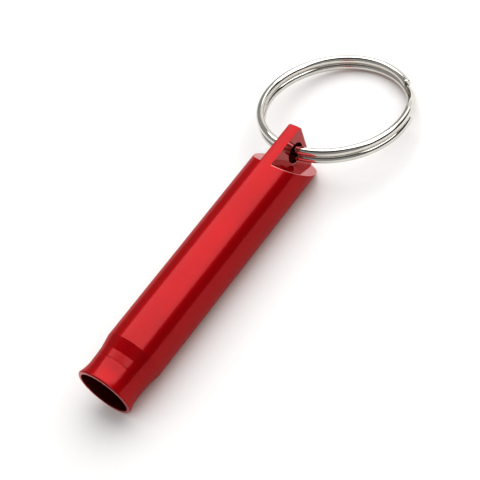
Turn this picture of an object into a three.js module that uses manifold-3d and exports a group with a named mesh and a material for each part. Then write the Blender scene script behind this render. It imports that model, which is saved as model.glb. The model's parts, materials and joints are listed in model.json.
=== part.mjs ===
// Survival whistle on a split key ring: a turned metal tube with a ring lug, an airway plug and a wire ring.
// Millimetres, +Z up. The whistle lies on its side along +X, mouth towards -X, sound window underneath.
// The origin is on the surface it lies on, halfway between the mouth and the far side of the ring.

import * as THREE from 'three';
import { mergeVertices } from 'three/addons/utils/BufferGeometryUtils.js';
import Module from 'manifold-3d';

// Tube
const BODY_DIAMETER = 8;
const BODY_LENGTH = 42.8;
const END_CHAMFER = 0.25;

// Mouth end: a rolled lip, a waist for the lips to hold and a shallow cone up to the full diameter
const LIP_DIAMETER = 7.9;
const LIP_ROUND = 0.22;
const WAIST_DIAMETER = 7.26;
const WAIST_X = 2.2;
const NECK_DIAMETER = 7.44;
const NECK_X = 4.2;
const NECK_END_X = 6.3;

// Bore, drilled from the mouth and opened out with the lip
const BORE_DIAMETER = 6.3;
const BORE_DEPTH = 35;
const DRILL_POINT_ANGLE = 118;
const MOUTH_DIAMETER = 6.94;
const MOUTH_TAPER = 2.2;

// Sound window, cut across the underside
const WINDOW_X = 15;
const WINDOW_LENGTH = 3;
const WINDOW_DEPTH = 1.8;
const WINDOW_RAMP_ANGLE = 28;

// Airway plug, pressed into the bore up to the window
const PLUG_RECESS = 5;
const PLUG_CLEARANCE = 0.05;
const PLUG_CHAMFER = 0.3;
const AIRWAY_HEIGHT = 1;

// Ring lug: two oblique cuts leave a fin in the middle of the tube's end
const FIN_THICKNESS = 1.72;
const SHOULDER_LENGTH = 6.8;
const HOLE_DIAMETER = 3;
const HOLE_TO_END = 2.2;
const HOLE_ABOVE_AXIS = 1;

// Split ring: one length of wire wound nearly two turns, the upper turn stepping down to the lower one
const RING_DIAMETER = 21.5;
const WIRE_DIAMETER = 0.88;
const TURN_GAP = 0.44;
const UPPER_END_ANGLE = -38;
const STEP_START_ANGLE = 287.5;
const STEP_ARC = 34.5;

// Mesh fineness
const ROUND_SEGMENTS = 64;
const HOLE_SEGMENTS = 32;
const FLARE_STEPS = 6;
const LIP_STEPS = 4;
const RING_STEPS_PER_TURN = 48;
const WIRE_SIDES = 8;

// How far the cutting blocks reach past the surfaces that they cut
const CUT_MARGIN = 1;

const wasm = await Module();
wasm.setup();

// Derived sizes
const bodyRadius = BODY_DIAMETER / 2;
const boreRadius = BORE_DIAMETER / 2;
const plugRadius = boreRadius - PLUG_CLEARANCE;
const airwayFlatZ = AIRWAY_HEIGHT - boreRadius;
const windowFloorZ = WINDOW_DEPTH - bodyRadius;
const wireRadius = WIRE_DIAMETER / 2;
const turnPitch = WIRE_DIAMETER + TURN_GAP;
const ringRadius = RING_DIAMETER / 2 - wireRadius;
const holeX = BODY_LENGTH - HOLE_TO_END;
const holeHeight = bodyRadius + HOLE_ABOVE_AXIS;
const ringTilt = restingTilt();
const ringReach = 2 * ringRadius * Math.cos(ringTilt) + turnPitch / 2 * Math.sin(ringTilt) + wireRadius;
const ringFarX = holeX + ringReach;

// The ring's wire passes through the lug's hole, and its far side lies on the surface under the whistle.
function restingTilt() {
  const reach = 2 * ringRadius;
  const halfPitch = turnPitch / 2;
  const drop = holeHeight - wireRadius;
  return Math.asin(drop / Math.hypot(reach, halfPitch)) - Math.atan2(halfPitch, reach);
}

function toSolid(geometry) {
  const bare = geometry.clone();
  bare.deleteAttribute('normal');
  bare.deleteAttribute('uv');
  const merged = mergeVertices(bare);
  const triangles = [];
  const index = merged.index.array;
  for (let i = 0; i < index.length; i += 3) {
    const [a, b, c] = index.subarray(i, i + 3);
    if (a !== b && b !== c && c !== a) triangles.push(a, b, c);
  }
  const vertProperties = new Float32Array(merged.attributes.position.array);
  const triVerts = new Uint32Array(triangles);
  return new wasm.Manifold(new wasm.Mesh({ numProp: 3, vertProperties, triVerts }));
}

function toGeometry(solid) {
  const mesh = solid.getMesh();
  const geometry = new THREE.BufferGeometry();
  geometry.setAttribute('position', new THREE.BufferAttribute(mesh.vertProperties, 3));
  geometry.setIndex(new THREE.BufferAttribute(mesh.triVerts, 1));
  geometry.computeVertexNormals();
  return geometry;
}

// A turned piece from points [x along the axis, radius], with its axis on +X.
function turned(profile) {
  const points = profile.map(([x, radius]) => new THREE.Vector2(radius, x));
  const geometry = new THREE.LatheGeometry(points, ROUND_SEGMENTS);
  geometry.rotateZ(-Math.PI / 2);
  return toSolid(geometry);
}

// A block from an outline of points [x, z], reaching across from one y to another.
function crossBlock(outline, fromY, toY) {
  const shape = new THREE.Shape(outline.map(([x, z]) => new THREE.Vector2(x, z)));
  const geometry = new THREE.ExtrudeGeometry(shape, { depth: toY - fromY, bevelEnabled: false });
  geometry.rotateX(Math.PI / 2);
  geometry.translate(0, toY, 0);
  return toSolid(geometry);
}

// Rounded edge of the lip, from its front face round to its outside.
function lipRound() {
  const centre = LIP_DIAMETER / 2 - LIP_ROUND;
  const points = [];
  for (let i = 0; i <= LIP_STEPS; i += 1) {
    const angle = Math.PI / 2 * i / LIP_STEPS;
    points.push([LIP_ROUND * (1 - Math.cos(angle)), centre + LIP_ROUND * Math.sin(angle)]);
  }
  return points;
}

// The lip's outside sweeps down to the waist, level where it reaches it.
function lipFlare() {
  const waistRadius = WAIST_DIAMETER / 2;
  const rise = LIP_DIAMETER / 2 - waistRadius;
  const points = [];
  for (let i = 1; i <= FLARE_STEPS; i += 1) {
    const along = i / FLARE_STEPS;
    points.push([LIP_ROUND + along * (WAIST_X - LIP_ROUND), waistRadius + rise * (1 - along) ** 2]);
  }
  return points;
}

function makeTube() {
  const drillPoint = boreRadius / Math.tan(THREE.MathUtils.degToRad(DRILL_POINT_ANGLE / 2));
  return turned([
    [BORE_DEPTH, 0],
    [BORE_DEPTH - drillPoint, boreRadius],
    [MOUTH_TAPER, boreRadius],
    [0, MOUTH_DIAMETER / 2],
    ...lipRound(),
    ...lipFlare(),
    [NECK_X, NECK_DIAMETER / 2],
    [NECK_END_X, bodyRadius],
    [BODY_LENGTH - END_CHAMFER, bodyRadius],
    [BODY_LENGTH, bodyRadius - END_CHAMFER],
    [BODY_LENGTH, 0],
  ]);
}

// One of the two cuts beside the fin: all that lies beyond the oblique shoulder.
function shoulderCut(fromY, toY) {
  const run = SHOULDER_LENGTH / BODY_DIAMETER * CUT_MARGIN;
  const top = bodyRadius + CUT_MARGIN;
  const bottom = -bodyRadius - CUT_MARGIN;
  const beyond = BODY_LENGTH + SHOULDER_LENGTH;
  return crossBlock([
    [BODY_LENGTH + run, bottom],
    [beyond, bottom],
    [beyond, top],
    [BODY_LENGTH - SHOULDER_LENGTH - run, top],
  ], fromY, toY);
}

// The sound window: a square face towards the mouth, a flat floor and a ramp that leaves a sharp lip.
function windowCut() {
  const below = -bodyRadius - CUT_MARGIN;
  const ramp = (windowFloorZ - below) / Math.tan(THREE.MathUtils.degToRad(WINDOW_RAMP_ANGLE));
  const halfWidth = bodyRadius + CUT_MARGIN;
  return crossBlock([
    [WINDOW_X, below],
    [WINDOW_X + WINDOW_LENGTH + ramp, below],
    [WINDOW_X + WINDOW_LENGTH, windowFloorZ],
    [WINDOW_X, windowFloorZ],
  ], -halfWidth, halfWidth);
}

function holeCut() {
  const hole = new THREE.CylinderGeometry(HOLE_DIAMETER / 2, HOLE_DIAMETER / 2, BODY_DIAMETER, HOLE_SEGMENTS);
  hole.translate(holeX, 0, HOLE_ABOVE_AXIS);
  return toSolid(hole);
}

function makeBody() {
  const finSide = FIN_THICKNESS / 2;
  const outside = bodyRadius + CUT_MARGIN;
  return makeTube()
    .subtract(shoulderCut(finSide, outside))
    .subtract(shoulderCut(-outside, -finSide))
    .subtract(holeCut())
    .subtract(windowCut());
}

// The plug fills the bore but for a flat underneath, which leaves the airway to the window.
function makePlug() {
  const round = turned([
    [PLUG_RECESS, 0],
    [PLUG_RECESS, plugRadius - PLUG_CHAMFER],
    [PLUG_RECESS + PLUG_CHAMFER, plugRadius],
    [WINDOW_X, plugRadius],
    [WINDOW_X, 0],
  ]);
  const below = -bodyRadius;
  const airway = crossBlock([
    [0, below],
    [BODY_LENGTH, below],
    [BODY_LENGTH, airwayFlatZ],
    [0, airwayFlatZ],
  ], -bodyRadius, bodyRadius);
  return round.subtract(airway);
}

// Centre line of the ring's wire about the ring's own centre; the lug's hole is at 180 degrees.
function ringPoint(degrees) {
  const angle = THREE.MathUtils.degToRad(degrees);
  const stepped = THREE.MathUtils.smoothstep(degrees, STEP_START_ANGLE, STEP_START_ANGLE + STEP_ARC);
  const height = turnPitch * (1 / 2 - stepped);
  return new THREE.Vector3(ringRadius * Math.cos(angle), ringRadius * Math.sin(angle), height);
}

function ringCentreLine() {
  const lowerEndAngle = STEP_START_ANGLE + 360;
  const arc = lowerEndAngle - UPPER_END_ANGLE;
  const steps = Math.round(arc / 360 * RING_STEPS_PER_TURN);
  const points = [];
  for (let i = 0; i <= steps; i += 1) {
    points.push(ringPoint(UPPER_END_ANGLE + arc * i / steps));
  }
  return points;
}

// One unbroken wire: a round section carried along the centre line, closed by a fan at each end.
function makeRing(points) {
  const positions = [];
  const triangles = [];
  const last = points.length - 1;
  for (const point of points) {
    const outward = new THREE.Vector3(point.x, point.y, 0).normalize();
    for (let side = 0; side < WIRE_SIDES; side += 1) {
      const turn = 2 * Math.PI * (side + 1 / 2) / WIRE_SIDES;
      const vertex = point.clone().addScaledVector(outward, wireRadius * Math.cos(turn));
      vertex.z += wireRadius * Math.sin(turn);
      positions.push(...vertex.toArray());
    }
  }
  for (let ring = 0; ring < last; ring += 1) {
    for (let side = 0; side < WIRE_SIDES; side += 1) {
      const next = (side + 1) % WIRE_SIDES;
      const a = ring * WIRE_SIDES + side;
      const b = ring * WIRE_SIDES + next;
      const c = a + WIRE_SIDES;
      const d = b + WIRE_SIDES;
      triangles.push(a, d, b, a, c, d);
    }
  }
  const far = last * WIRE_SIDES;
  for (let side = 1; side < WIRE_SIDES - 1; side += 1) {
    triangles.push(0, side, side + 1);
    triangles.push(far, far + side + 1, far + side);
  }
  const geometry = new THREE.BufferGeometry();
  geometry.setAttribute('position', new THREE.Float32BufferAttribute(positions, 3));
  geometry.setIndex(triangles);
  geometry.computeVertexNormals();
  return geometry;
}

// Least distance between the wire's surface on one turn and on the other, taken between centre line points.
function leastTurnGap(points) {
  let least = Infinity;
  const nearTurn = RING_STEPS_PER_TURN / 2;
  for (let i = 0; i < points.length; i += 1) {
    for (let j = i + nearTurn; j < points.length; j += 1) {
      least = Math.min(least, points[i].distanceTo(points[j]) - WIRE_DIAMETER);
    }
  }
  return least;
}

const redAnodised = new THREE.MeshStandardMaterial({ color: 0xb3141c, roughness: 0.32, metalness: 0.9 });
const blackPlastic = new THREE.MeshStandardMaterial({ color: 0x141414, roughness: 0.6, metalness: 0 });
const brightSteel = new THREE.MeshStandardMaterial({ color: 0xc9c8c4, roughness: 0.16, metalness: 1 });

function named(name, geometry, material) {
  const mesh = new THREE.Mesh(geometry, material);
  mesh.name = name;
  return mesh;
}

const tubeGroup = new THREE.Group();
tubeGroup.position.z = bodyRadius;
tubeGroup.add(named('whistle_body', toGeometry(makeBody()), redAnodised));
tubeGroup.add(named('airway_plug', toGeometry(makePlug()), blackPlastic));

const wirePoints = ringCentreLine();
console.log(`split_ring least gap between turns: ${leastTurnGap(wirePoints).toFixed(3)} mm`);

const ring = named('split_ring', makeRing(wirePoints), brightSteel);
ring.position.x = ringRadius;

const ringGroup = new THREE.Group();
ringGroup.position.set(holeX, 0, holeHeight);
ringGroup.rotation.y = ringTilt;
ringGroup.add(ring);

const whistle = new THREE.Group();
whistle.position.x = -ringFarX / 2;
whistle.add(tubeGroup, ringGroup);

export default whistle;
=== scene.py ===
"""Looks of a red anodised survival whistle on a split key ring, lying on a white table.

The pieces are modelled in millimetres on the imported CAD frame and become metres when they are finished.
"""

import json
import math

import bmesh
import bpy
from mathutils import Matrix, Vector


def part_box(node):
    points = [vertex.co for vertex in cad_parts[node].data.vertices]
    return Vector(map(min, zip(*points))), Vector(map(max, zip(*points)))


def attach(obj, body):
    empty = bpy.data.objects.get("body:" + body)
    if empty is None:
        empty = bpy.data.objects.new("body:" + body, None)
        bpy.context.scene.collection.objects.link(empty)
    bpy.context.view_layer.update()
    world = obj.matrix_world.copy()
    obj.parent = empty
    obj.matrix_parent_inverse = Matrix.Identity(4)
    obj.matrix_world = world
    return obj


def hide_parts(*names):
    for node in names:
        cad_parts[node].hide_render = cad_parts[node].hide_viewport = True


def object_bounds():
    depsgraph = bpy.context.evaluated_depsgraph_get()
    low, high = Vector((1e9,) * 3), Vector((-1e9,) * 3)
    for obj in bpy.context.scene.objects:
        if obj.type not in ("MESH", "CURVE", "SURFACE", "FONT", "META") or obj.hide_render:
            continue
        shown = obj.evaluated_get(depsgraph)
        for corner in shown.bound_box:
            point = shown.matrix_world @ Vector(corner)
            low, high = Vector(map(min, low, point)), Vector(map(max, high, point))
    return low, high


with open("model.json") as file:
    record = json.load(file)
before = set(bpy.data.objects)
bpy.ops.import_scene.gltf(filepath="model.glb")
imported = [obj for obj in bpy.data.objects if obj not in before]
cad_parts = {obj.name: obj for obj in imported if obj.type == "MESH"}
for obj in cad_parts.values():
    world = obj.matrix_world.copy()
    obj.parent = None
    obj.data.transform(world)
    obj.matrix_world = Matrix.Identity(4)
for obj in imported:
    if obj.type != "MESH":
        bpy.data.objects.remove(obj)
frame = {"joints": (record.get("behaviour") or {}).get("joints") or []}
cad_low, cad_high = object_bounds()

MM = 0.001

# Places and sizes from the frame, in millimetres
tube_low, tube_high = (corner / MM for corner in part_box("whistle_body"))
plug_low, plug_high = (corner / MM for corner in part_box("airway_plug"))
ring_low, ring_high = (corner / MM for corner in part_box("split_ring"))
ring_joint = frame["joints"][0]
HINGE = Vector(ring_joint["pos_m"]) / MM
TUBE_RADIUS = (tube_high.z - tube_low.z) / 2
TUBE_LENGTH = tube_high.x - tube_low.x
MOUTH = Vector((tube_low.x, 0, tube_low.z + TUBE_RADIUS))
RING_OUTSIDE = min(ring_high.y, -ring_low.y)

# The sizes of the pieces are in millimetres, and all angles in degrees

# Mouth end
LIP_RADIUS = 3.95
LIP_ROUND = 0.22
LIP_INNER_ROUND = 0.08
WAIST_RADIUS = 3.63
WAIST_X = 2.2
BAND_RADIUS = 3.65
BAND_X = 3.2
NECK_RADIUS = 3.71
NECK_X = 4.4
CREASE_X = 6.1
GROOVE_WIDTH = 0.14
GROOVE_DEPTH = 0.02
MARK_COUNT = 5
MARK_DEPTH = 0.006
MARK_POINTS = 6

# Bore and sound window
BORE_RADIUS = 3.15
MOUTH_RADIUS = 3.47
MOUTH_TAPER = 2.2
BORE_DEPTH = 35
DRILL_POINT_ANGLE = 118
WINDOW_LENGTH = 3
WINDOW_DEPTH = 1.8
WINDOW_RAMP_ANGLE = 28
WINDOW_EDGE_ROUND = 0.04

# Ring lug
BODY_ROLL = 4.5
FIN_THICKNESS = 1.72
FIN_EDGE_ROUND = 0.06
SHOULDER_LENGTH = 6.8
NEAR_SHOULDER_SWEEP = 0.14
FAR_SHOULDER_SWEEP = 0.07
SHOULDER_EDGE_ROUND = 0.06
SHOULDER_THIN_END = -2.5
HOLE_RADIUS = 1.5
HOLE_EDGE_ROUND = 0.05
END_CHAMFER = 0.25

# Airway plug
PLUG_CHAMFER = 0.3

# Split ring
WIRE_RADIUS = 0.55
UPPER_END_ANGLE = -38
STEP_START_ANGLE = 287.5
STEP_ARC = 34.5
WIRE_END_ROUND = 0.14

# Fineness
TUBE_STEPS = 192
HOLE_STEPS = 96
ROUND_STEPS = 8
FLARE_STEPS = 24
HOLE_ROUND_STEPS = 3
LUG_ROUND_STEPS = 2
WINDOW_ROUND_STEPS = 1
WIRE_SIDES = 32
WIRE_STEP_ANGLE = 1.75
WIRE_END_STEPS = 3

# Material slots of the finishes on the whistle body
TURNED_FINISH = 0
CUT_FINISH = 1
# The bore's and the hole's slot darkens their red with painted shade
DULL_PAINTED_SHADE_FINISH = 2
WORN_FINISH = 3

# Margins of the cuts, and what counts as one place or as a sharp edge
CUT_MARGIN = 1
RIM_TOLERANCE = 0.01
SAME_PLACE = 1e-4
MERGE_DISTANCE = 1e-5
SHARP_ANGLE = 30

# Colours of the anodising, and its clear film
DYE = (0.372, 0.0012, 0.0035)
MILLED_DYE = (0.36, 0.001, 0.003)
# Painted shade: the bore and the hole's wall are far darker than the dye, for the little light that reaches
# inside
BORE_PAINTED_SHADE_DYE = (0.08, 0.001, 0.003)
WORN_DYE = (0.7, 0.25, 0.25)
DARKER_TONE = 0.93
LIGHTER_TONE = 1.07
FILM_IOR = 1.5
FILM_EDGE_TINT = (1, 0.05, 0.05, 1)

# Tones that the plastic and the plated steel wander between
PLASTIC_TONES = ((0.012, 0.012, 0.012), (0.022, 0.021, 0.020))
STEEL_TONES = ((0.62, 0.595, 0.55), (0.70, 0.675, 0.62))

# Nearly all of a noise lies between these values
NOISE_LOW = 0.3
NOISE_HIGH = 0.7

# Table, with lengths in metres, and the tones of the painted shade that it glows with, from the closest
# corner to the open. The warm tint of the darker tones is painted red light thrown back from the whistle.
TABLE_RADIUS = 4
TABLE_STEPS = 96
TABLE_GAP = 0.00002
TABLE_COLOUR = (0.60, 0.595, 0.59, 1)
TABLE_ROUGHNESS = 0.7
TABLE_GLOSS = 0.2
PAINTED_SHADE_REACH = 0.036
PAINTED_SHADE_SAMPLES = 16
PAINTED_SHADE_TONES = (
    (0, (0, 0, 0)),
    (0.3, (0.115, 0.065, 0.05)),
    (0.6, (0.27, 0.245, 0.24)),
    (0.85, (0.37, 0.365, 0.36)),
    (1, (0.43, 0.43, 0.43)),
)

# Room: its tones and sides, and how far a direction points at each where that one fades in
ROOM_DARK = 0.04
ROOM_LIGHT = 0.35
CEILING_FADE = (0.65, 0.9)
DARK_SIDE = (0.8, -1, 0)
DARK_SIDE_FADE = (0.3, 0.9)
SWEEP_LIGHT = 1
SWEEP_SIDE = (0.97, 0.24, 0)
SWEEP_SIDE_FADE = (0.78, 0.9)
SWEEP_TOP_FADE = (0.4, 0.6)

# Lamps, with lengths in metres
SOFTBOX_WIDTH = 0.535
SOFTBOX_LENGTH = 1.13
SOFTBOX_PLACE = (0.32, -0.015, 0.5)
SOFTBOX_RADIANCE = 3.4
CARD_WIDTH = 0.62
CARD_LENGTH = 0.6
CARD_PLACE = (0.91, -0.05, 0.5)
CARD_RADIANCE = 1.5

# Camera, from the photograph, with lengths in millimetres
CAMERA_AZIMUTH = -33.45
CAMERA_ELEVATION = 48.32
CAMERA_ROLL = -25.53
CAMERA_DISTANCE = 185.2
CAMERA_LENS = 108.91
CAMERA_AIM_ALONG = 25
CAMERA_SHIFT_RIGHT = 2.152
CAMERA_SHIFT_UP = 0.2945
CAMERA_NEAREST = 10


# Meshes

def weigh_normals(piece):
    """Large flat faces keep their own normal, and the small rounds beside them take up the turn."""
    change = piece.modifiers.new("weighted normals", "WEIGHTED_NORMAL")
    change.keep_sharp = True


def finished(name, bm, materials):
    """The bmesh as a smooth object in metres, with its materials."""
    mesh = bpy.data.meshes.new(name)
    bm.to_mesh(mesh)
    bm.free()
    mesh.transform(Matrix.Scale(MM, 4))
    mesh.shade_smooth()
    for material in materials:
        mesh.materials.append(material)
    piece = bpy.data.objects.new(name, mesh)
    bpy.context.scene.collection.objects.link(piece)
    weigh_normals(piece)
    return piece


def turned(outline):
    """A turned shape from points (distance along X, radius), with its axis on X."""
    bm = bmesh.new()
    line = [bm.verts.new((x, 0, radius)) for x, radius in outline]
    edges = [bm.edges.new(pair) for pair in zip(line, line[1:])]
    bmesh.ops.spin(
        bm,
        geom=line + edges,
        cent=(0, 0, 0),
        axis=(1, 0, 0),
        dvec=(0, 0, 0),
        angle=2 * math.pi,
        steps=TUBE_STEPS,
        use_merge=True,
        use_duplicate=False,
    )
    bmesh.ops.remove_doubles(bm, verts=bm.verts, dist=MERGE_DISTANCE)
    bmesh.ops.recalc_face_normals(bm, faces=bm.faces)
    return bm


def cross_block(outline, from_y, to_y):
    """A block from an outline of points (x, z), reaching across from one y to another."""
    bm = bmesh.new()
    face = bm.faces.new([bm.verts.new((x, from_y, z)) for x, z in outline])
    made = bmesh.ops.extrude_face_region(bm, geom=[face])
    moved = [item for item in made["geom"] if isinstance(item, bmesh.types.BMVert)]
    bmesh.ops.translate(bm, verts=moved, vec=(0, to_y - from_y, 0))
    bmesh.ops.recalc_face_normals(bm, faces=bm.faces)
    return bm


def loose_object(name, bm, material_index):
    """A bmesh as a working object, still in millimetres, with one of two empty slots all over."""
    for face in bm.faces:
        face.material_index = material_index
    mesh = bpy.data.meshes.new(name)
    bm.to_mesh(mesh)
    bm.free()
    mesh.materials.append(None)
    mesh.materials.append(None)
    piece = bpy.data.objects.new(name, mesh)
    bpy.context.scene.collection.objects.link(piece)
    return piece


def cut(bm, tools):
    """The bmesh with each tool's bmesh taken out of it. Cut faces get the second material."""
    stock = loose_object("stock", bm, TURNED_FINISH)
    blades = [loose_object("blade", tool, CUT_FINISH) for tool in tools]
    for blade in blades:
        change = stock.modifiers.new("cut", "BOOLEAN")
        change.operation = "DIFFERENCE"
        change.solver = "EXACT"
        change.object = blade
    result = bmesh.new()
    result.from_object(stock, bpy.context.evaluated_depsgraph_get())
    for piece in [stock, *blades]:
        mesh = piece.data
        bpy.data.objects.remove(piece)
        bpy.data.meshes.remove(mesh)
    bmesh.ops.remove_doubles(result, verts=result.verts, dist=MERGE_DISTANCE)
    return result


def round_edges(bm, edges, size, steps, hold_back=True):
    """The edges rounded, less beside a close neighbour if hold_back is set. Gives the rounds' faces."""
    made = bmesh.ops.bevel(
        bm,
        geom=edges,
        offset=size,
        offset_type="OFFSET",
        affect="EDGES",
        segments=steps,
        profile=0.5,
        material=-1,
        clamp_overlap=hold_back,
    )
    return made["faces"]


def wear_edges(bm, edges, size, steps, hold_back):
    """The edges rounded and worn bright."""
    for face in round_edges(bm, edges, size, steps, hold_back):
        face.material_index = WORN_FINISH


def roll_over(bm):
    """The whistle lies rolled a little about its own axis, which the fin shows."""
    roll = Matrix.Rotation(math.radians(BODY_ROLL), 3, "X")
    bmesh.ops.rotate(bm, verts=bm.verts, cent=(0, 0, 0), matrix=roll)


def quarter_round(centre, radius, from_angle, to_angle):
    """Points (x, radius) round an arc of the outline, angles in degrees from +X towards the outside."""
    points = []
    for step in range(ROUND_STEPS + 1):
        angle = math.radians(from_angle + (to_angle - from_angle) * step / ROUND_STEPS)
        points.append((centre[0] + radius * math.cos(angle), centre[1] + radius * math.sin(angle)))
    return points


# Whistle body: its outline

def lip_flare():
    """The lip's outside sweeps down to the waist, level where it reaches it."""
    points = []
    for step in range(1, FLARE_STEPS + 1):
        along = step / FLARE_STEPS
        x = LIP_ROUND + along * (WAIST_X - LIP_ROUND)
        points.append((x, WAIST_RADIUS + (LIP_RADIUS - WAIST_RADIUS) * (1 - along) ** 2))
    return points


def cone_with_marks():
    """The cone from the neck up to the full diameter, with the shallow marks that the turning tool left."""
    points = []
    count = MARK_COUNT * MARK_POINTS
    for step in range(count + 1):
        along = step / count
        ripple = MARK_DEPTH * (1 - math.cos(2 * math.pi * MARK_COUNT * along)) / 2
        radius = NECK_RADIUS + along * (TUBE_RADIUS - NECK_RADIUS) - ripple
        points.append((NECK_X + along * (CREASE_X - NECK_X), radius))
    return points


def tube_outline():
    """From the bore's end out to the mouth, back along the outside and in to the far end's middle."""
    drill_point = BORE_RADIUS / math.tan(math.radians(DRILL_POINT_ANGLE / 2))
    inner_round = (LIP_INNER_ROUND, MOUTH_RADIUS + LIP_INNER_ROUND)
    outer_round = (LIP_ROUND, LIP_RADIUS - LIP_ROUND)
    return [
        (BORE_DEPTH, 0),
        (BORE_DEPTH - drill_point, BORE_RADIUS),
        (MOUTH_TAPER, BORE_RADIUS),
        *quarter_round(inner_round, LIP_INNER_ROUND, 270, 180),
        *quarter_round(outer_round, LIP_ROUND, 180, 90),
        *lip_flare(),
        (BAND_X - GROOVE_WIDTH / 2, BAND_RADIUS),
        (BAND_X, BAND_RADIUS - GROOVE_DEPTH),
        (BAND_X + GROOVE_WIDTH / 2, BAND_RADIUS),
        *cone_with_marks(),
        (TUBE_LENGTH - END_CHAMFER, TUBE_RADIUS),
        (TUBE_LENGTH, TUBE_RADIUS - END_CHAMFER),
        (TUBE_LENGTH, 0),
    ]


# Whistle body: its cuts

def shoulder_cut(from_y, to_y, sweep):
    """All beside the fin and beyond the oblique shoulder, which runs back towards the tube's side."""
    run = SHOULDER_LENGTH / (2 * TUBE_RADIUS) * CUT_MARGIN
    top = TUBE_RADIUS + CUT_MARGIN
    beyond = TUBE_LENGTH + SHOULDER_LENGTH
    outline = [
        (TUBE_LENGTH + run, -top),
        (beyond, -top),
        (beyond, top),
        (TUBE_LENGTH - SHOULDER_LENGTH - run, top),
    ]
    block = cross_block(outline, from_y, to_y)
    slant = Matrix.Identity(4)
    slant[0][1] = sweep
    bmesh.ops.transform(block, matrix=slant, verts=block.verts)
    return block


def window_start():
    """The plug reaches to the sound window."""
    return plug_high.x - MOUTH.x


def ramp_length(height):
    """How far along the tube the window's ramp runs while it drops by a height."""
    return height / math.tan(math.radians(WINDOW_RAMP_ANGLE))


def window_cut():
    """A square face towards the mouth, a flat floor and a ramp that leaves a sharp lip."""
    below = -TUBE_RADIUS - CUT_MARGIN
    floor = WINDOW_DEPTH - TUBE_RADIUS
    start = window_start()
    outline = [
        (start, below),
        (start + WINDOW_LENGTH + ramp_length(floor - below), below),
        (start + WINDOW_LENGTH, floor),
        (start, floor),
    ]
    return cross_block(outline, below, -below)


def hole_cut():
    """A drill through the fin, long enough to come out on both sides of the tube."""
    bm = bmesh.new()
    place = Matrix.Translation(HINGE - MOUTH) @ Matrix.Rotation(math.radians(90), 4, "X")
    bmesh.ops.create_cone(
        bm,
        cap_ends=True,
        segments=HOLE_STEPS,
        radius1=HOLE_RADIUS,
        radius2=HOLE_RADIUS,
        depth=4 * TUBE_RADIUS,
        matrix=place,
    )
    return bm


# Whistle body: its edges and finishes

def sharp_edges(bm, from_x, to_x):
    """Edges between faces that meet at an angle, within a stretch of the tube."""
    found = []
    for edge in bm.edges:
        inside = all(from_x < vert.co.x < to_x for vert in edge.verts)
        if inside and len(edge.link_faces) == 2 and edge.calc_face_angle(0) > math.radians(SHARP_ANGLE):
            found.append(edge)
    return found


def hole_distance(vert):
    """How far a point lies from the axis of the ring's hole."""
    return math.hypot(vert.co.x - HINGE.x + MOUTH.x, vert.co.z - HINGE.z + MOUTH.z)


def hole_rim(bm):
    """The two edges of the ring's hole."""
    return [
        edge
        for edge in sharp_edges(bm, 0, TUBE_LENGTH)
        if all(abs(hole_distance(vert) - HOLE_RADIUS) < RIM_TOLERANCE for vert in edge.verts)
    ]


def lug_edges(bm):
    """The lug's outside edges: those round the fin, and those of the shoulders above their thin ends."""
    lug_start = TUBE_LENGTH - SHOULDER_LENGTH - CUT_MARGIN
    fin = []
    shoulders = []
    for edge in sharp_edges(bm, lug_start, TUBE_LENGTH + CUT_MARGIN):
        if not edge.is_convex:
            continue
        if all(abs(vert.co.y) < FIN_THICKNESS / 2 + RIM_TOLERANCE for vert in edge.verts):
            fin.append(edge)
        elif all(vert.co.z > SHOULDER_THIN_END for vert in edge.verts):
            shoulders.append(edge)
    return fin, shoulders


def round_lug(bm):
    """The hole's rim and the shoulders' edges are worn bright. The fin's edges keep their colour."""
    wear_edges(bm, hole_rim(bm), HOLE_EDGE_ROUND, HOLE_ROUND_STEPS, hold_back=False)
    fin, _ = lug_edges(bm)
    round_edges(bm, fin, FIN_EDGE_ROUND, LUG_ROUND_STEPS)
    _, shoulders = lug_edges(bm)
    wear_edges(bm, shoulders, SHOULDER_EDGE_ROUND, LUG_ROUND_STEPS, hold_back=False)


def round_window(bm):
    """The edges round the sound window, up to where its ramp leaves the tube, are worn bright."""
    start = window_start()
    end = start + WINDOW_LENGTH + ramp_length(WINDOW_DEPTH)
    edges = sharp_edges(bm, start - CUT_MARGIN, end + CUT_MARGIN)
    wear_edges(bm, edges, WINDOW_EDGE_ROUND, WINDOW_ROUND_STEPS, hold_back=True)


def keep_turned_edges_crisp(bm):
    """The crease, the ends of the cone and the fine groove in the waist stay crisp under smooth shading."""
    groove_sides = (BAND_X - GROOVE_WIDTH / 2, BAND_X, BAND_X + GROOVE_WIDTH / 2)
    for edge in bm.edges:
        for crisp_x in (*groove_sides, NECK_X, CREASE_X):
            if all(abs(vert.co.x - crisp_x) < SAME_PLACE for vert in edge.verts):
                edge.smooth = False


def keep_sharp_edges_crisp(bm):
    """Edges that no round has softened stay crisp under smooth shading."""
    for edge in sharp_edges(bm, -CUT_MARGIN, TUBE_LENGTH + CUT_MARGIN):
        edge.smooth = False


def share_out_finishes(bm):
    """The lip's end face is cut as the lug is. The bore and the inside of the hole are dull, and painted
    shade darkens their red.
    """
    for face in bm.faces:
        outermost = max(math.hypot(vert.co.y, vert.co.z) for vert in face.verts)
        middle_x = face.calc_center_median().x
        if max(vert.co.x for vert in face.verts) < LIP_ROUND / 2:
            face.material_index = CUT_FINISH
        elif outermost < MOUTH_RADIUS and middle_x < BORE_DEPTH:
            face.material_index = DULL_PAINTED_SHADE_FINISH
        elif all(hole_distance(vert) < HOLE_RADIUS + RIM_TOLERANCE for vert in face.verts):
            face.material_index = DULL_PAINTED_SHADE_FINISH


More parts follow.
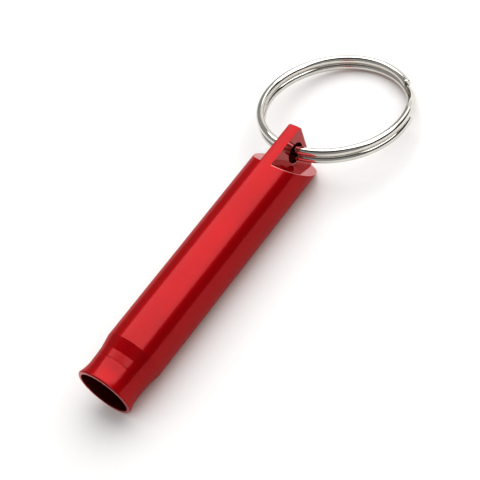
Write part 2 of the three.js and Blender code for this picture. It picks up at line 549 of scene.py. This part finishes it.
def make_whistle_body(materials):
    fin_side = FIN_THICKNESS / 2
    outside = TUBE_RADIUS + CUT_MARGIN
    bm = cut(
        turned(tube_outline()),
        [
            shoulder_cut(fin_side, outside, -FAR_SHOULDER_SWEEP),
            shoulder_cut(-outside, -fin_side, NEAR_SHOULDER_SWEEP),
            hole_cut(),
            window_cut(),
        ],
    )
    round_lug(bm)
    round_window(bm)
    keep_turned_edges_crisp(bm)
    keep_sharp_edges_crisp(bm)
    share_out_finishes(bm)
    roll_over(bm)
    bmesh.ops.translate(bm, verts=bm.verts, vec=MOUTH)
    piece = finished("whistle_body_turned", bm, materials)
    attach(piece, "whistle")
    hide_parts("whistle_body")


# Airway plug

def plug_blank():
    """The plug as it is turned, with its chamfer towards the mouth."""
    length = plug_high.x - plug_low.x
    radius = (plug_high.y - plug_low.y) / 2
    return turned([
        (0, 0),
        (0, radius - PLUG_CHAMFER),
        (PLUG_CHAMFER, radius),
        (length, radius),
        (length, 0),
    ])


def cut_airway_flat(bm):
    """The flat under the plug leaves the airway to the sound window."""
    cut_off = bmesh.ops.bisect_plane(
        bm,
        geom=bm.verts[:] + bm.edges[:] + bm.faces[:],
        plane_co=(0, 0, plug_low.z - MOUTH.z),
        plane_no=(0, 0, -1),
        clear_outer=True,
    )
    rim = [item for item in cut_off["geom_cut"] if isinstance(item, bmesh.types.BMEdge)]
    bmesh.ops.holes_fill(bm, edges=rim, sides=0)
    bmesh.ops.recalc_face_normals(bm, faces=bm.faces)


def make_airway_plug(material):
    bm = plug_blank()
    cut_airway_flat(bm)
    roll_over(bm)
    bmesh.ops.translate(bm, verts=bm.verts, vec=(plug_low.x, 0, MOUTH.z))
    piece = finished("airway_plug_turned", bm, [material])
    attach(piece, "whistle")
    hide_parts("airway_plug")


# Split ring

def wire_height(degrees):
    """Height of the wire's centre: the upper turn steps smoothly down to the lower one."""
    along = (degrees - STEP_START_ANGLE) / STEP_ARC
    along = min(max(along, 0), 1)
    stepped = along * along * (3 - 2 * along)
    return WIRE_RADIUS * (1 - 2 * stepped)


def wire_angles():
    """Steps along the wire, in degrees. Its lower turn ends below where the upper one steps down."""
    arc = STEP_START_ANGLE + 360 - UPPER_END_ANGLE
    count = round(arc / WIRE_STEP_ANGLE)
    return [UPPER_END_ANGLE + arc * step / count for step in range(count + 1)]


def wound_wire(radius):
    """The wire's round section swept nearly two turns about Z, with its ends closed and rounded."""
    bm = bmesh.new()
    start = (
        Matrix.Rotation(math.radians(UPPER_END_ANGLE), 4, "Z")
        @ Matrix.Translation((radius, 0, wire_height(UPPER_END_ANGLE)))
        @ Matrix.Rotation(math.radians(90), 4, "X")
    )
    bmesh.ops.create_circle(bm, cap_ends=False, radius=WIRE_RADIUS, segments=WIRE_SIDES, matrix=start)
    section = bm.verts[:] + bm.edges[:]
    angles = wire_angles()
    for here, there in zip(angles, angles[1:]):
        made = bmesh.ops.spin(
            bm,
            geom=section,
            cent=(0, 0, 0),
            axis=(0, 0, 1),
            dvec=(0, 0, wire_height(there) - wire_height(here)),
            angle=math.radians(there - here),
            steps=1,
            use_duplicate=False,
        )
        section = made["geom_last"]
    ends = [edge for edge in bm.edges if edge.is_boundary]
    bmesh.ops.holes_fill(bm, edges=ends, sides=0)
    bmesh.ops.recalc_face_normals(bm, faces=bm.faces)
    round_edges(bm, ends, WIRE_END_ROUND, WIRE_END_STEPS)
    return bm


def ring_place(radius):
    """The wire passes through the lug's hole, and the ring's far side lies on the table."""
    reach = 2 * radius
    drop = HINGE.z - WIRE_RADIUS
    tilt = math.asin(drop / math.hypot(reach, WIRE_RADIUS)) - math.atan2(WIRE_RADIUS, reach)
    return Matrix.Translation(HINGE) @ Matrix.Rotation(tilt, 4, "Y") @ Matrix.Translation((radius, 0, 0))


def make_split_ring(material):
    radius = RING_OUTSIDE - WIRE_RADIUS
    bm = wound_wire(radius)
    bmesh.ops.transform(bm, matrix=ring_place(radius), verts=bm.verts)
    piece = finished("split_ring_wound", bm, [material])
    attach(piece, "ring")
    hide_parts("split_ring")


# Shader nodes

def new_material(name):
    """A material, its node tree and its Principled shader."""
    material = bpy.data.materials.new(name)
    material.use_nodes = True
    tree = material.node_tree
    shader = tree.nodes["Principled BSDF"]
    return material, tree, shader


def object_noise(tree, scale, detail, stretch=(1, 1, 1)):
    """A noise on the piece's own coordinates, in cycles per metre, stretched along its axes."""
    place = tree.nodes.new("ShaderNodeTexCoord")
    mapping = tree.nodes.new("ShaderNodeMapping")
    mapping.inputs["Scale"].default_value = stretch
    noise = tree.nodes.new("ShaderNodeTexNoise")
    noise.inputs["Scale"].default_value = scale
    noise.inputs["Detail"].default_value = detail
    tree.links.new(place.outputs["Object"], mapping.inputs["Vector"])
    tree.links.new(mapping.outputs["Vector"], noise.inputs["Vector"])
    return noise.outputs["Fac"]


def spread(tree, source, low, high, from_low=NOISE_LOW, from_high=NOISE_HIGH):
    """A value, a noise unless its own range is given, spread over another range."""
    change = tree.nodes.new("ShaderNodeMapRange")
    change.inputs["From Min"].default_value = from_low
    change.inputs["From Max"].default_value = from_high
    change.inputs["To Min"].default_value = low
    change.inputs["To Max"].default_value = high
    tree.links.new(source, change.inputs["Value"])
    return change.outputs["Result"]


def two_tones(tree, source, first, second):
    """A colour that wanders between two tones."""
    ramp = tree.nodes.new("ShaderNodeValToRGB")
    ramp.color_ramp.elements[0].position = NOISE_LOW
    ramp.color_ramp.elements[1].position = NOISE_HIGH
    ramp.color_ramp.elements[0].color = (*first, 1)
    ramp.color_ramp.elements[1].color = (*second, 1)
    tree.links.new(source, ramp.inputs["Fac"])
    return ramp.outputs["Color"]


def bump(tree, source, strength, distance, under=None):
    """A normal raised by a noise up to a distance in metres, on top of another bump if one is given."""
    change = tree.nodes.new("ShaderNodeBump")
    change.inputs["Strength"].default_value = strength
    change.inputs["Distance"].default_value = distance
    tree.links.new(source, change.inputs["Height"])
    if under is not None:
        tree.links.new(under, change.inputs["Normal"])
    return change.outputs["Normal"]


def combined(tree, operation, first, second):
    """Two values brought together by arithmetic."""
    change = tree.nodes.new("ShaderNodeMath")
    change.operation = operation
    tree.links.new(first, change.inputs[0])
    tree.links.new(second, change.inputs[1])
    return change.outputs[0]


def towards(tree, direction, axis):
    """How far a direction points along an axis."""
    change = tree.nodes.new("ShaderNodeVectorMath")
    change.operation = "DOT_PRODUCT"
    change.inputs[1].default_value = axis
    tree.links.new(direction, change.inputs[0])
    return change.outputs["Value"]


# Materials

def red_anodising(name, colour, metallic, roughness, coat, coat_roughness, bump_strength):
    """Clear anodic film over dyed aluminium: a red metal under a thin colourless gloss."""
    material, tree, shader = new_material(name)
    shader.inputs["Metallic"].default_value = metallic
    shader.inputs["Specular IOR Level"].default_value = 0
    shader.inputs["Coat Weight"].default_value = coat
    shader.inputs["Coat Roughness"].default_value = coat_roughness
    shader.inputs["Coat IOR"].default_value = FILM_IOR
    shader.inputs["Specular Tint"].default_value = FILM_EDGE_TINT
    cloud = object_noise(tree, scale=160, detail=3)
    streaks = object_noise(tree, scale=1, detail=4, stretch=(150, 3500, 3500))
    grain = object_noise(tree, scale=7000, detail=2)
    darker = [DARKER_TONE * part for part in colour]
    lighter = [LIGHTER_TONE * part for part in colour]
    tree.links.new(two_tones(tree, cloud, darker, lighter), shader.inputs["Base Color"])
    tree.links.new(spread(tree, streaks, *roughness), shader.inputs["Roughness"])
    drawn = bump(tree, streaks, bump_strength, distance=0.00002)
    grained = bump(tree, grain, bump_strength, distance=0.00001, under=drawn)
    tree.links.new(grained, shader.inputs["Normal"])
    return material


def whistle_finishes():
    """The finishes of the whistle body, in the order of their slots."""
    turned_red = red_anodising(
        "satin_red_anodising",
        DYE,
        metallic=0.42,
        roughness=(0.30, 0.36),
        coat=0.25,
        coat_roughness=0.12,
        bump_strength=0.1,
    )
    cut_red = red_anodising(
        "milled_red_anodising",
        MILLED_DYE,
        metallic=0.6,
        roughness=(0.05, 0.09),
        coat=0.8,
        coat_roughness=0.03,
        bump_strength=0.03,
    )
    # Painted shade: dull, and far darker than the dye, for the shade inside the bore and the hole
    dull_red_painted_shade = red_anodising(
        "bore_red_anodising_painted_shade",
        BORE_PAINTED_SHADE_DYE,
        metallic=0.5,
        roughness=(0.35, 0.45),
        coat=0.05,
        coat_roughness=0.3,
        bump_strength=0.2,
    )
    worn_red = red_anodising(
        "worn_red_anodising",
        WORN_DYE,
        metallic=0.9,
        roughness=(0.35, 0.5),
        coat=0.5,
        coat_roughness=0.1,
        bump_strength=0.1,
    )
    return [turned_red, cut_red, dull_red_painted_shade, worn_red]


def black_plastic():
    """Matt moulded plastic."""
    material, tree, shader = new_material("black_plastic")
    grain = object_noise(tree, scale=4000, detail=3)
    tree.links.new(two_tones(tree, grain, *PLASTIC_TONES), shader.inputs["Base Color"])
    tree.links.new(spread(tree, grain, low=0.5, high=0.65), shader.inputs["Roughness"])
    tree.links.new(bump(tree, grain, strength=0.2, distance=0.00003), shader.inputs["Normal"])
    return material


def bright_steel():
    """Polished nickel plate over drawn wire."""
    material, tree, shader = new_material("bright_steel")
    shader.inputs["Metallic"].default_value = 1
    cloud = object_noise(tree, scale=400, detail=3)
    grain = object_noise(tree, scale=5000, detail=3)
    tree.links.new(two_tones(tree, cloud, *STEEL_TONES), shader.inputs["Base Color"])
    tree.links.new(spread(tree, cloud, low=0.03, high=0.06), shader.inputs["Roughness"])
    tree.links.new(bump(tree, grain, strength=0.08, distance=0.00001), shader.inputs["Normal"])
    return material


# Stage

def seen_directly(tree):
    """1 for rays from the camera, a gloss or a glass, and 0 for the light that reaches other surfaces."""
    rays = tree.nodes.new("ShaderNodeLightPath").outputs
    camera_or_gloss = combined(tree, "MAXIMUM", rays["Is Camera Ray"], rays["Is Glossy Ray"])
    return combined(tree, "MAXIMUM", camera_or_gloss, rays["Is Transmission Ray"])


def white_table_painted_shade():
    """Plain white under the lamps, with their real shadows, and a painted shade on top: seen directly or in
    a gloss it glows lighter in the open than close to the object, where less light reaches it.
    """
    material, tree, shader = new_material("white_table_painted_shade")
    shader.inputs["Base Color"].default_value = TABLE_COLOUR
    shader.inputs["Roughness"].default_value = TABLE_ROUGHNESS
    shader.inputs["Specular IOR Level"].default_value = TABLE_GLOSS
    # Painted shade: how open the room is around each point sets the tone that the table glows with, dark
    # close to the object
    near = tree.nodes.new("ShaderNodeAmbientOcclusion")
    near.samples = PAINTED_SHADE_SAMPLES
    near.inputs["Distance"].default_value = PAINTED_SHADE_REACH
    shade = tree.nodes.new("ShaderNodeValToRGB")
    stops = shade.color_ramp.elements
    for openness, _ in PAINTED_SHADE_TONES[1:-1]:
        stops.new(openness)
    for stop, (_, tone) in zip(stops, PAINTED_SHADE_TONES):
        stop.color = (*tone, 1)
    tree.links.new(near.outputs["AO"], shade.inputs["Fac"])
    tree.links.new(shade.outputs["Color"], shader.inputs["Emission Color"])
    tree.links.new(seen_directly(tree), shader.inputs["Emission Strength"])
    return material


def make_table():
    bm = bmesh.new()
    bmesh.ops.create_circle(bm, cap_ends=True, radius=TABLE_RADIUS, segments=TABLE_STEPS)
    mesh = bpy.data.meshes.new("table")
    bm.to_mesh(mesh)
    bm.free()
    mesh.materials.append(white_table_painted_shade())
    table = bpy.data.objects.new("table", mesh)
    bpy.context.scene.collection.objects.link(table)
    table.location.z = cad_low.z - TABLE_GAP


def make_world():
    """Light walls, a dark ceiling, a dark side right of the camera and a low white sweep beyond the ring."""
    world = bpy.data.worlds.new("room")
    world.use_nodes = True
    tree = world.node_tree
    direction = tree.nodes.new("ShaderNodeTexCoord").outputs["Generated"]
    height = towards(tree, direction, (0, 0, 1))
    open_side = spread(tree, towards(tree, direction, DARK_SIDE), 1, 0, *DARK_SIDE_FADE)
    below_ceiling = spread(tree, height, 1, 0, *CEILING_FADE)
    openness = combined(tree, "MULTIPLY", open_side, below_ceiling)
    walls = spread(tree, openness, ROOM_DARK, ROOM_LIGHT, 0, 1)
    beyond_ring = spread(tree, towards(tree, direction, SWEEP_SIDE), 0, SWEEP_LIGHT, *SWEEP_SIDE_FADE)
    sweep = combined(tree, "MULTIPLY", beyond_ring, spread(tree, height, 1, 0, *SWEEP_TOP_FADE))
    light = combined(tree, "MAXIMUM", walls, sweep)
    tree.links.new(light, tree.nodes["Background"].inputs["Color"])
    bpy.context.scene.world = world


def make_lamp(name, width, length, place, radiance):
    """A rectangular lamp that faces the table under it, of even radiance all over."""
    lamp = bpy.data.lights.new(name, "AREA")
    lamp.shape = "RECTANGLE"
    lamp.size = width
    lamp.size_y = length
    lamp.energy = radiance * math.pi * width * length
    box = bpy.data.objects.new(name, lamp)
    box.location = place
    bpy.context.scene.collection.objects.link(box)


def make_lights():
    """A long softbox overhead across the whistle, and a dimmer card beside it, beyond the ring."""
    make_lamp("softbox", SOFTBOX_WIDTH, SOFTBOX_LENGTH, SOFTBOX_PLACE, SOFTBOX_RADIANCE)
    make_lamp("card", CARD_WIDTH, CARD_LENGTH, CARD_PLACE, CARD_RADIANCE)


def make_camera():
    azimuth = math.radians(CAMERA_AZIMUTH)
    elevation = math.radians(CAMERA_ELEVATION)
    back = Vector((
        math.cos(elevation) * math.sin(azimuth),
        -math.cos(elevation) * math.cos(azimuth),
        math.sin(elevation),
    ))
    level = Vector((math.cos(azimuth), math.sin(azimuth), 0))
    turn = Matrix.Rotation(math.radians(CAMERA_ROLL), 3, back)
    right = turn @ level
    up = turn @ back.cross(level)
    aim = MOUTH + Vector((CAMERA_AIM_ALONG, 0, 0)) + CAMERA_SHIFT_RIGHT * right + CAMERA_SHIFT_UP * up
    lens = bpy.data.cameras.new("camera")
    lens.lens = CAMERA_LENS
    lens.clip_start = CAMERA_NEAREST * MM
    camera = bpy.data.objects.new("camera", lens)
    camera.matrix_world = Matrix.Translation((aim + CAMERA_DISTANCE * back) * MM) @ Matrix((
        (right.x, up.x, back.x),
        (right.y, up.y, back.y),
        (right.z, up.z, back.z),
    )).to_4x4()
    bpy.context.scene.collection.objects.link(camera)
    bpy.context.scene.camera = camera


make_camera()
make_whistle_body(whistle_finishes())
make_airway_plug(black_plastic())
make_split_ring(bright_steel())
make_table()
make_world()
make_lights()
bpy.context.scene.view_settings.view_transform = "Standard"
